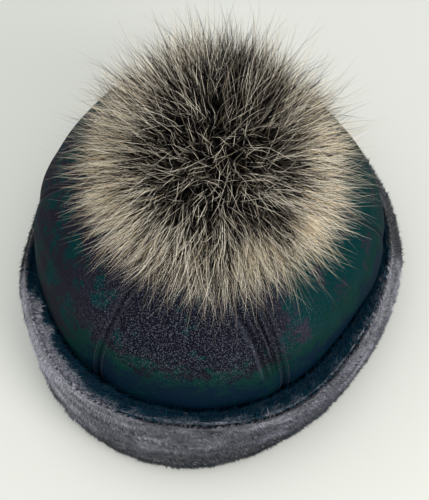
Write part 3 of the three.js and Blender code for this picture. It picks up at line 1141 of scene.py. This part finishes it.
LINING_HAIR = HairFinish("lining wool", ((0.0, srgb(34, 40, 52)), (1.0, srgb(124, 126, 134))),
                         srgb(30, 35, 46), (-0.6, 0.3), rough=0.8, gloss=0.1)
CUFF_HAIR = HairFinish("cuff wool", (
    (0.0, srgb(6, 18, 26)), (0.25, srgb(36, 42, 52)), (0.6, srgb(98, 99, 110)), (1.0, srgb(182, 182, 192))),
    srgb(24, 28, 38), (-0.2, 0.4), rough=0.7, sheen=0.3)
FACING_HAIR = HairFinish("facing wool", (
    (0.0, srgb(0, 34, 52)), (0.26, srgb(0, 48, 64)), (0.48, srgb(30, 66, 82)), (0.66, srgb(110, 112, 124)),
    (1.0, srgb(184, 182, 192))), srgb(0, 20, 34), (-0.2, 0.4), rough=0.8, gloss=0.06)
GUARD_HAIR = HairFinish("guard hair", (
    (0.0, srgb(3, 3, 4)), (0.45, srgb(8, 7, 8)), (0.51, srgb(120, 110, 98)),
    (0.57, srgb(232, 222, 203)), (0.84, srgb(255, 247, 226)), (0.93, srgb(240, 218, 178)),
    (1.0, srgb(224, 196, 150))), srgb(2, 2, 3), (0.28, 0.58), tip=0.12, rough=0.5, gloss=0.05)
LONG_HAIR = HairFinish("long hair", (
    (0.0, srgb(70, 64, 58)), (0.5, srgb(168, 154, 134)), (1.0, srgb(236, 220, 190))),
    srgb(2, 2, 3), (0.3, 0.6), tip=0.5, rough=0.5, gloss=0.05)
UNDER_HAIR = HairFinish("underfur", (
    (0.0, srgb(5, 5, 6)), (0.5, srgb(22, 20, 19)), (1.0, srgb(110, 100, 84))),
    srgb(4, 4, 5), (0.2, 0.8), rough=0.8, gloss=0.06)


@dataclass
class Cuff:
    """The turned-up cuff: the ground of its band and facing, and the wool that stands on both."""

    steps: int = 200
    touch: float = 0.4
    wool_touch: float = 0.9
    fold_height: float = 9.0
    fold_share: float = 0.5
    belly_height: float = 20.0
    flank_top: float = 60.0
    sink: float = 1.0
    lump: float = 0.45
    small_lump: float = 0.35
    wool: float = 2.1
    typical_radius: float = 115.0
    brushed_left: Fade = (-8, -24)
    brushed_right: Fade = (56, 76)
    pale_left: Fade = (-18, -34)
    pale_left_ends: Fade = (-72, -58)
    pale_right: Fade = (30, 70)
    pale_right_ends: Fade = (165, 100)
    # Where painted shade darkens the band's top where the crown shades it, at the left back and at the right.
    dark_left: Fade = (-46, -84)
    dark_left_ends: Fade = (-150, -90)
    dark_right: Fade = (72, 112)
    dark_right_ends: Fade = (175, 120)
    dark_up: Fade = (34, 50)
    foot_shade: Fade = (36, 9)
    crest_light: Fade = (44, 56)
    facing_left: Fade = (-10, -45)
    facing_left_ends: Fade = (-110, -70)
    facing_up: Fade = (30, 44)
    facing_stops_left: Fade = (-56, -66)
    facing_stops_right: Fade = (84, 98)
    cord: float = 0.6
    cord_sides: int = 8

    def azimuths(self) -> Array:
        """The azimuths of the rings' rows, against the turn so that faces point out."""
        return -np.linspace(0, FULL_TURN, self.steps, endpoint=False)

    def sizes(self, azimuth: Array) -> tuple[Array, ...]:
        """The crown's, seam's and belly's radius, the top's height and the fold's radius at each azimuth."""
        crown, seam, belly, top = (FORM.column(name, azimuth) for name in ("crown", "seam", "belly", "top"))
        return crown, seam, belly, top, crown * (1 - self.fold_share) + belly * self.fold_share

    def groove(self, azimuth: Array) -> Array:
        """How deep the sewn edge lies under the rim: hardly at all where the wool is brushed over it."""
        return 3 - 3 * self.brushed(azimuth)

    def brushed(self, azimuth: Array) -> Array:
        """How far the wool is brushed over the sewn edge: at the left, and from the right round the back."""
        turn = side(azimuth)
        return np.maximum(smooth(turn, *self.brushed_left), 0.7 * smooth(turn, *self.brushed_right))

    def band_knots(self, azimuth: Array) -> list[tuple[Array, Array | float]]:
        """The band's section: its foot, belly, flank, crest, sewn edge and inner wall."""
        crown, seam, belly, top, fold = self.sizes(azimuth)
        rise = top / self.flank_top
        return [
            (crown + self.touch, 2), (crown + 3, 0), (np.maximum(belly - 7, crown + 4.5), 0),
            (belly - 2.2, 5), (belly, self.belly_height), (belly * 0.75 + seam * 0.25, 34 * rise),
            (belly * 0.7 + seam * 0.3 + 1, 48 * rise), (seam + 4.6, top - 4), (seam + 2.6, top),
            (seam, top - self.groove(azimuth)), (fold, self.fold_height),
            (crown + self.touch, self.fold_height)]

    def facing_knots(self, azimuth: Array) -> list[tuple[Array, Array | float]]:
        """The facing's section, between the crown and the band."""
        crown, seam, _, top, fold = self.sizes(azimuth)
        inner = crown + 1.5
        low = self.fold_height + self.touch
        return [
            (fold - self.wool_touch, low), (seam - self.wool_touch, top - self.groove(azimuth)),
            (seam - 2.4, top + 0.5), (inner * 0.65 + seam * 0.35, top - 1), (inner + 0.5, top - 7),
            (inner, low)]

    @staticmethod
    def rounded(knots: list[tuple[Array, Array | float]], spans: Sequence[tuple[int, bool]]) -> Array:
        """A closed section through knots.

        Args:
            knots: (radius, height) of each knot.
            spans: for each knot, how many points lead to the next, and whether they follow a curve.

        Returns:
            Rows of (radius, height), one row for each azimuth.
        """
        ring = np.stack([np.stack(np.broadcast_arrays(*knot), -1) for knot in knots], 1)
        made = []
        for i, (pieces, bends) in enumerate(spans):
            before, first, second, after = (ring[:, (i + k) % len(knots)] for k in (-1, 0, 1, 2))
            for share in np.arange(pieces) / pieces:
                made.append(curved(before, first, second, after, share) if bends
                            else first + (second - first) * share)
        return np.stack(made, 1)

    @staticmethod
    def each(spans: Sequence[tuple[int, bool]], values: Sequence[float]) -> Array:
        """A value for each point of a section, from one for each span."""
        return np.repeat(np.array(values, float), [pieces for pieces, _ in spans])

    def ground(self, name: str, section: Array, azimuth: Array, plush: Array, sewn: Array,
               seed: int) -> Shell:
        """The ground of one side of the cuff.

        Args:
            name: the piece's name.
            section: (radius, height) of each point of each row.
            azimuth: the rows' azimuths.
            plush: for each column, how much wool stands there, from 0 to 1.
            sewn: for each column, 1 at the sewn edge, where the ground stays up at the left of the hat.
            seed: the seed of its lumps.

        Returns:
            The shell, sunk under the plush by the length of the wool.
        """
        step = np.roll(section, -1, 1) - np.roll(section, 1, 1)
        out = unit(np.stack([step[..., 1], -step[..., 0]], -1))
        steps = np.linalg.norm(np.diff(section, axis=1, prepend=section[:, :1]), axis=-1)
        round_about = np.radians(azimuth)[:, None] * self.typical_radius
        arc, length = np.broadcast_arrays(round_about, np.mean(np.cumsum(steps, axis=1), 0))
        lumps = self.lump * Ripples(seed, 22).at(arc, length * 1.6)
        lumps = lumps + self.small_lump * Ripples(seed + 1, 7).at(arc, length)
        share = plush * (1 - 0.8 * self.brushed(azimuth)[:, None] * sewn)
        moved = section + out * ((lumps - self.sink) * share)[..., None]
        moved[..., 1] = np.maximum(moved[..., 1], section[..., 1].min())
        grid = FORM.around(azimuth[:, None], moved[..., 0], moved[..., 1])
        level = FORM.around(azimuth[:, None], out[..., 0], out[..., 1])
        cover = np.broadcast_to(plush, arc.shape)
        values = {
            "grow": self.lean(azimuth, arc, length, level, moved[..., 1]),
            "tone": self.tone(azimuth, arc, length, moved[..., 1]),
            "cover": cover,
            "reach": np.full(cover.shape, self.wool * MM),
            "stray": np.ones(cover.shape),
        }
        return Shell.from_grid(name, grid, 0, values)

    @staticmethod
    def lean(azimuth: Array, arc: Array, length: Array, out: Array, height: Array) -> Array:
        """The way the wool leans: out, round the hat and a little down.

        Args:
            azimuth: the rows' azimuths.
            arc: the way round the hat to each point.
            length: the way along the section to each point.
            out: the way out of the ground at each point.
            height: each point's height.

        Returns:
            The ways, never down near the table.
        """
        around = FORM.around(azimuth[:, None] + FULL_TURN / 4, 1.0, 0.0)
        nap = Ripples(51, 34).at(arc, length * 2.2)[..., None]
        grow = unit(out + around * (0.9 + 0.5 * nap) + np.array([0, 0, 1.0]) * (-0.5 + 0.3 * nap))
        grow[..., 2] = np.where(height < 6, np.maximum(grow[..., 2], 0.05), grow[..., 2])
        return grow

    def tone(self, azimuth: Array, arc: Array, length: Array, height: Array) -> Array:
        """How light the wool is: pale at the front left and streaked, with painted shade at the foot and on
        the band's top behind the crown, and painted light along the crest.

        Args:
            azimuth: the rows' azimuths.
            arc: the way round the hat to each point.
            length: the way along the section to each point.
            height: each point's height.

        Returns:
            The tone at each point.
        """
        streak = Ripples(52, 16).at(arc * 0.35, length * 1.5) * 0.07 + Ripples(53, 60).at(arc, length) * 0.08
        turn = side(azimuth)[:, None]
        left = smooth(turn, *self.pale_left) * smooth(turn, *self.pale_left_ends)
        right = smooth(turn, *self.pale_right) * smooth(turn, *self.pale_right_ends)
        wander = turn + 9 * Ripples(54, 20).at(arc, length)
        # Painted shade where the crown shades the band's top.
        behind = smooth(wander, *self.dark_left) * smooth(turn, *self.dark_left_ends)
        behind = behind + smooth(wander, *self.dark_right) * smooth(turn, *self.dark_right_ends)
        behind = behind * smooth(height, *self.dark_up)
        # Painted shade darkens the foot; painted light brightens the crest.
        tone = 0.42 + 0.44 * left + 0.3 * right + streak - 0.55 * smooth(height, *self.foot_shade)
        return tone + (0.1 + 0.2 * left) * smooth(height, *self.crest_light) - 0.8 * behind

    def band(self) -> Shell:
        """The ground of the turned-up band."""
        azimuth = self.azimuths()
        spans = [(1, False), (3, False), (2, False), (4, True), (4, True), (4, True), (4, True), (3, True),
                 (3, True), (3, False), (2, False), (1, False)]
        section = self.rounded(self.band_knots(azimuth), spans)
        plush = self.each(spans, (0.0, 0.0, 0.35, 1.0, 1.0, 1.0, 1.0, 1.0, 0.8, 0.0, 0.0, 0.0))
        sewn = self.each(spans, (0.0, 0.0, 0.0, 0.0, 0.0, 0.0, 0.0, 0.5, 1.0, 1.0, 0.0, 0.0))
        return self.ground("cuff_band_ground", section, azimuth, plush, sewn, 41)

    def facing(self) -> Shell:
        """The ground of the facing inside: painted shade beside the crown and low down, pale towards the rim
        at the left.
        """
        azimuth = self.azimuths()
        spans = [(2, False), (3, True), (4, True), (4, True), (6, False), (2, False)]
        section = self.rounded(self.facing_knots(azimuth), spans)
        plush = self.each(spans, (0.0, 0.8, 1.0, 1.0, 0.35, 0.0))
        sewn = self.each(spans, (1.0, 1.0, 0.0, 0.0, 0.0, 0.0))
        shell = self.ground("cuff_facing_ground", section, azimuth, plush, sewn, 43)
        crown, seam = self.sizes(azimuth)[:2]
        way_out = (section[..., 0] - crown[:, None]) / (seam - crown)[:, None]
        turn = side(azimuth)[:, None]
        left = smooth(turn, *self.facing_left) * smooth(turn, *self.facing_left_ends)
        edge = 0.7 - 0.22 * left + 0.12 * Ripples(55, 13).at(turn * 1.9, way_out * 4)
        blur = 0.3 - 0.14 * left
        # Painted shade in the hollow between crown and band: dark near the crown and low down. The facing
        # also stays dark round the back.
        tone = (0.54 + 0.31 * left) * smooth(way_out, edge - blur, edge + blur)
        tone = tone * smooth(section[..., 1], *self.facing_up)
        tone = tone * (1 - smooth(turn, *self.facing_stops_left))
        tone = tone * (1 - 0.8 * smooth(turn, *self.facing_stops_right))
        shell.values["tone"] = tone.reshape(-1, 1)
        return shell

    def seam(self) -> Shell:
        """The dark cord that is sewn in where band and facing meet."""
        azimuth = self.azimuths()
        _, middle, _, top, _ = self.sizes(azimuth)
        turn = np.linspace(0, 2 * math.pi, self.cord_sides, endpoint=False)
        wave = 0.25 * Ripples(57, 9).at(azimuth * 2, 0.0)
        hidden = 2.5 * np.minimum(self.brushed(azimuth) * 1.5, 1)
        radius = (middle - 0.5 + wave)[:, None] + self.cord * np.cos(turn)
        height = (top - 1.4 + wave - hidden)[:, None] + self.cord * np.sin(turn)
        return Shell.from_grid("cuff_seam", FORM.around(azimuth[:, None], radius, height), 0)

    def pieces(self, hair: GrowingTree) -> list[Piece]:
        """Builds and dresses the cuff.

        Args:
            hair: the tree that grows hair.

        Returns:
            The finished pieces.
        """
        ground = WoolFinish("cuff ground", srgb(4, 14, 22), srgb(120, 121, 130)).material()
        under = WoolFinish("facing ground", srgb(0, 34, 50), srgb(128, 131, 140), 0.05).material()
        cord = PlainFinish("cuff seam", srgb(9, 9, 13), srgb(24, 24, 30), 2).material()
        band = dressed(self.band().build(), ground)
        facing = dressed(self.facing().build(), under)
        combed, speckled = (45.0, 45.0, 420.0), (420.0, 420.0, 420.0)
        plush = Coat(46000, 0.3, 0.7, 1.3, 0.45, 0.0, 0.25, 300, 0.4, 0.1, 1, 81, combed, 1.7, 0.0)
        curly = Coat(24000, 0.34, 0.8, 1.5, 0.6, 0.0, 0.3, 380, 1.4, 0.16, 1, 82, speckled, 0.9, 0.0)
        outer = grown(hair, band, "cuff_band_wool", CUFF_HAIR.material(), plush)
        inner = grown(hair, facing, "cuff_facing_wool", FACING_HAIR.material(), curly)
        seam = dressed(self.seam().build(), cord)
        return [Piece(band, "sheared_wool", ("cuff_band",)), Piece(facing, "sheared_wool", ("cuff_facing",)),
                *(Piece(made, "sheared_wool") for made in (outer, inner, seam))]


@dataclass
class Pompom:
    """The fur pompom: a dark backing, underfur, and two coats of guard hair combed out from its whorl."""

    right: float = 1.5
    front: float = 11.0
    height: float = 176.0
    squash: float = 0.84
    backing: float = 33.0
    reach: float = 63.0
    rows: int = 40
    columns: int = 64
    pole: float = 0.02
    comb: float = 0.75
    whorl: tuple[float, float, float] = (0.14, -0.15, 0.98)
    tousled: tuple[float, float, float] = (0.05, -0.32, 0.95)
    dark_pole: tuple[float, float, float] = (0.02, -0.06, 0.99)
    sit: float = 6.0
    ring: Fade = (36, 68)
    warm: Fade = (0.35, 0.8)
    warm_ends: Fade = (0.25, 0.6)
    pale: Fade = (0.3, 0.8)
    pale_ends: Fade = (0.05, 0.45)
    parting: Fade = (0.1, 0.35)
    parting_ends: Fade = (0.92, 0.75)
    fringe: Fade = (0.6, 0.92)
    longer_back: Fade = (0.2, 0.7)
    shorter_middle: Fade = (40, 0)
    unruly: Fade = (58, 15)
    bare_below: Fade = (95, 140)
    thin_middle: Fade = (50, 20)

    @property
    def middle(self) -> Array:
        """The middle of the pompom."""
        return FORM.lean + np.array([self.right, -self.front, self.height])

    @staticmethod
    def off(ball: Array, pole: tuple[float, float, float]) -> Array:
        """How many degrees each place on the ball is from a pole."""
        return np.degrees(np.arccos(np.clip(ball @ unit(np.array(pole)), -1, 1)))

    def ground(self) -> Shell:
        """The backing that the fur grows on: a squat ball, flat where it sits on the crown."""
        polar = np.linspace(self.pole, math.pi - self.pole, self.rows)[::-1][:, None]
        turn = np.linspace(0, 2 * math.pi, self.columns, endpoint=False)
        parts = (np.sin(polar) * np.cos(turn), np.sin(polar) * np.sin(turn), np.cos(polar))
        right, back, up = np.broadcast_arrays(*parts)
        ball = np.stack([right, back, up], -1)
        grid = ball * self.backing * np.array([1, 1, self.squash])
        grid[..., 2] = np.maximum(grid[..., 2], FORM.apex + self.sit - self.middle[2])
        down, dark, messy = (self.off(ball, pole) for pole in (self.whorl, self.dark_pole, self.tousled))
        mottle = Ripples(61, 26).at(right * 60, back * 60 + up * 35)
        squat = np.sqrt(np.clip(1 - up ** 2, 0, 1)) * (1 - self.squash) + self.squash
        reach = (self.reach - self.backing) * squat * (1 + 0.14 * smooth(back, *self.longer_back)) * MM
        values = {
            "grow": self.combed(ball, messy),
            "tone": self.tone(right, back, dark, mottle),
            "reach": reach * (1 - 0.2 * smooth(messy, *self.shorter_middle)),
            "cover": 1 - 0.75 * smooth(down, *self.bare_below) - 0.2 * smooth(dark, *self.thin_middle),
            "stray": 1 + 2.6 * smooth(messy, *self.unruly),
        }
        return Shell.from_grid("pompom_backing", grid + self.middle, self.columns // 2, values)

    def combed(self, ball: Array, messy: Array) -> Array:
        """The way the fur leans: out, away from the whorl, up a little below, and unruly in tufts.

        Args:
            ball: the places on a ball of radius one.
            messy: how many degrees each is from the tousled pole.

        Returns:
            The ways.
        """
        axis = unit(np.array(self.whorl))
        facing = (ball @ axis)[..., None]
        away = unit(ball - axis * facing)
        grow = unit(ball + away * self.comb * np.sqrt(np.clip(1 - facing ** 2, 0, 1)))
        below = smooth(-ball[..., 2], 0.2, 0.8)[..., None]
        grow = unit(grow * (1 - below * 0.5) + np.array([0, 0, 0.25]) * below)
        place = (ball[..., 0] * self.backing, (ball[..., 1] + 0.5 * ball[..., 2]) * self.backing)
        tufts = np.stack([Ripples(seed, 17).at(*place) for seed in (62, 63, 64)], -1)
        return unit(grow + tufts * (0.1 + 0.3 * smooth(messy, 75, 25))[..., None])

    def tone(self, right: Array, back: Array, dark: Array, mottle: Array) -> Array:
        """How light the fur is: dark on top and in its parting, warm at the right and pale at the left.

        Args:
            right: how far right each place is, from -1 to 1.
            back: how far back it is.
            dark: how many degrees it is from the dark pole.
            mottle: irregular noise.

        Returns:
            The tone at each place.
        """
        ring = smooth(dark + 9 * mottle, *self.ring)
        warm = smooth(right + 0.25 * mottle, *self.warm) * (1 - 0.5 * smooth(back, *self.warm_ends))
        pale = smooth(-right + 0.25 * mottle, *self.pale) * (1 - 0.8 * smooth(back, *self.pale_ends))
        parting = np.exp(-(((right - 0.08) / 0.14) ** 2)) * smooth(back, *self.parting)
        parting = parting * smooth(back, *self.parting_ends)
        fringe = smooth(back, *self.fringe)
        return 0.335 + (0.07 + 0.28 * warm + 0.24 * pale) * ring - 0.34 * parting + 0.13 * fringe

    def pieces(self, hair: GrowingTree) -> list[Piece]:
        """Builds and dresses the pompom.

        Args:
            hair: the tree that grows hair.

        Returns:
            The finished pieces.
        """
        felt = PlainFinish("pompom backing", srgb(10, 10, 11), srgb(22, 20, 20), 4).material()
        ground = dressed(self.ground().build(), felt)
        guard = GUARD_HAIR.material()
        tufts = (260.0, 260.0, 260.0)
        coats = (
            ("underfur", UNDER_HAIR.material(),
             Coat(7000, 0.35, 0.4, 0.7, 0.35, 0.05, 0.12, 150, 0.8, 0.25, 3, 91)),
            ("guard_hair", guard,
             Coat(8500, 0.185, 0.7, 1.05, 0.2, 0.05, 0.14, 170, 2.0, 0.34, 4, 92, tufts, 0.95)),
            ("top_hair", guard,
             Coat(6500, 0.145, 0.85, 1.22, 0.28, 0.06, 0.26, 130, 1.6, 0.36, 4, 93, tufts, 0.85)),
            ("long_hair", LONG_HAIR.material(),
             Coat(2300, 0.09, 1.1, 1.5, 0.4, 0.04, 0.24, 60, 0.5, 0.42, 4, 94)),
        )
        fur = [Piece(grown(hair, ground, f"pompom_{name}", look, coat), "long_fur")
               for name, look, coat in coats]
        return [Piece(ground, "long_fur", ("pompom",)), *fur]


@dataclass
class Studio:
    """The pale floor, the soft light and the camera at the photograph's angle."""

    elevation: float = 67.0
    roll: float = 8.0
    aim: tuple[float, float, float] = (4.8, -20.2, 76.8)
    distance: float = 576.0
    focal_pixels: float = 1035.0
    sensor: float = 36.0
    floor_half: float = 3.0
    sky: Colour = (0.93, 0.97, 1.0)
    sky_power: float = 0.3

    def camera(self) -> None:
        """Stands the camera where the photograph was taken from."""
        rise = math.radians(self.elevation)
        back = Vector((0, -math.cos(rise), math.sin(rise)))
        right = Vector((1, 0, 0))
        up = Vector((0, math.sin(rise), math.cos(rise)))
        tilt = math.radians(self.roll)
        across = right * math.cos(tilt) + up * math.sin(tilt)
        upward = -right * math.sin(tilt) + up * math.cos(tilt)
        place = (Vector(self.aim) + Vector(SHIFT) + back * self.distance) * MM
        data = bpy.data.cameras.new("camera")
        data.sensor_width = self.sensor
        data.lens = self.focal_pixels * self.sensor / FRAME_HEIGHT
        data.clip_start = 0.01
        made = placed("camera", data)
        made.matrix_world = Matrix.Translation(place) @ Matrix((across, upward, back)).transposed().to_4x4()
        bpy.context.scene.camera = made

    def floor(self) -> None:
        """Lays the floor."""
        mesh = bpy.data.meshes.new("floor")
        half = self.floor_half
        corners = [(-half, -half, 0), (half, -half, 0), (half, half, 0), (-half, half, 0)]
        mesh.from_pydata(corners, [], [(0, 1, 2, 3)])
        look = PlainFinish("floor", srgb(213, 214, 207), srgb(219, 220, 213), 300, 0.85)
        dressed(placed("floor", mesh), look.material())

    @staticmethod
    def lamp(name: str, azimuth: float, elevation: float, away: float, size: float, power: float,
             colour: Colour) -> None:
        """Hangs one soft lamp that looks at the hat.

        Args:
            name: the lamp's name.
            azimuth: degrees from the front.
            elevation: degrees above the floor.
            away: how far off it hangs, in metres.
            size: how wide it is, in metres.
            power: its power in watts.
            colour: the colour of its light.
        """
        data = bpy.data.lights.new(name, "AREA")
        data.shape = "DISK"
        data.size = size
        data.energy = power
        data.color = colour
        turn, rise = math.radians(azimuth), math.radians(elevation)
        way = Vector((math.sin(turn) * math.cos(rise), -math.cos(turn) * math.cos(rise), math.sin(rise)))
        made = placed(name, data)
        made.location = way * away
        made.rotation_euler = way.to_track_quat("Z", "Y").to_euler()

    def light(self) -> None:
        """Lights the hat softly."""
        world = bpy.data.worlds.new("soft room")
        world.use_nodes = True
        background = world.node_tree.nodes["Background"]
        background.inputs[0].default_value = (*self.sky, 1.0)
        background.inputs[1].default_value = self.sky_power
        bpy.context.scene.world = world
        bpy.context.scene.view_settings.view_transform = "Standard"
        self.lamp("window", 52, 36, 1.1, 0.7, 6.0, (1.0, 0.99, 0.97))
        self.lamp("ceiling", -60, 80, 1.9, 3.0, 40.5, (1.0, 1.0, 1.0))

    def set_up(self) -> None:
        """Builds the whole studio."""
        self.camera()
        self.floor()
        self.light()


def main() -> None:
    """Builds the hat, piece by piece."""
    logging.basicConfig(level=logging.INFO, format="%(message)s")
    Studio().set_up()
    hair, sewing = hair_tree(), stitch_tree()
    for piece in [*Crown().pieces(hair, sewing), *Cuff().pieces(hair), *Pompom().pieces(hair)]:
        piece.declare()
    stud = PlainFinish("stud", srgb(34, 34, 37), srgb(42, 42, 45), 6, 0.5)
    dressed(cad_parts["pompom_stud"], stud.material())


if __name__ == "__main__":
    main()
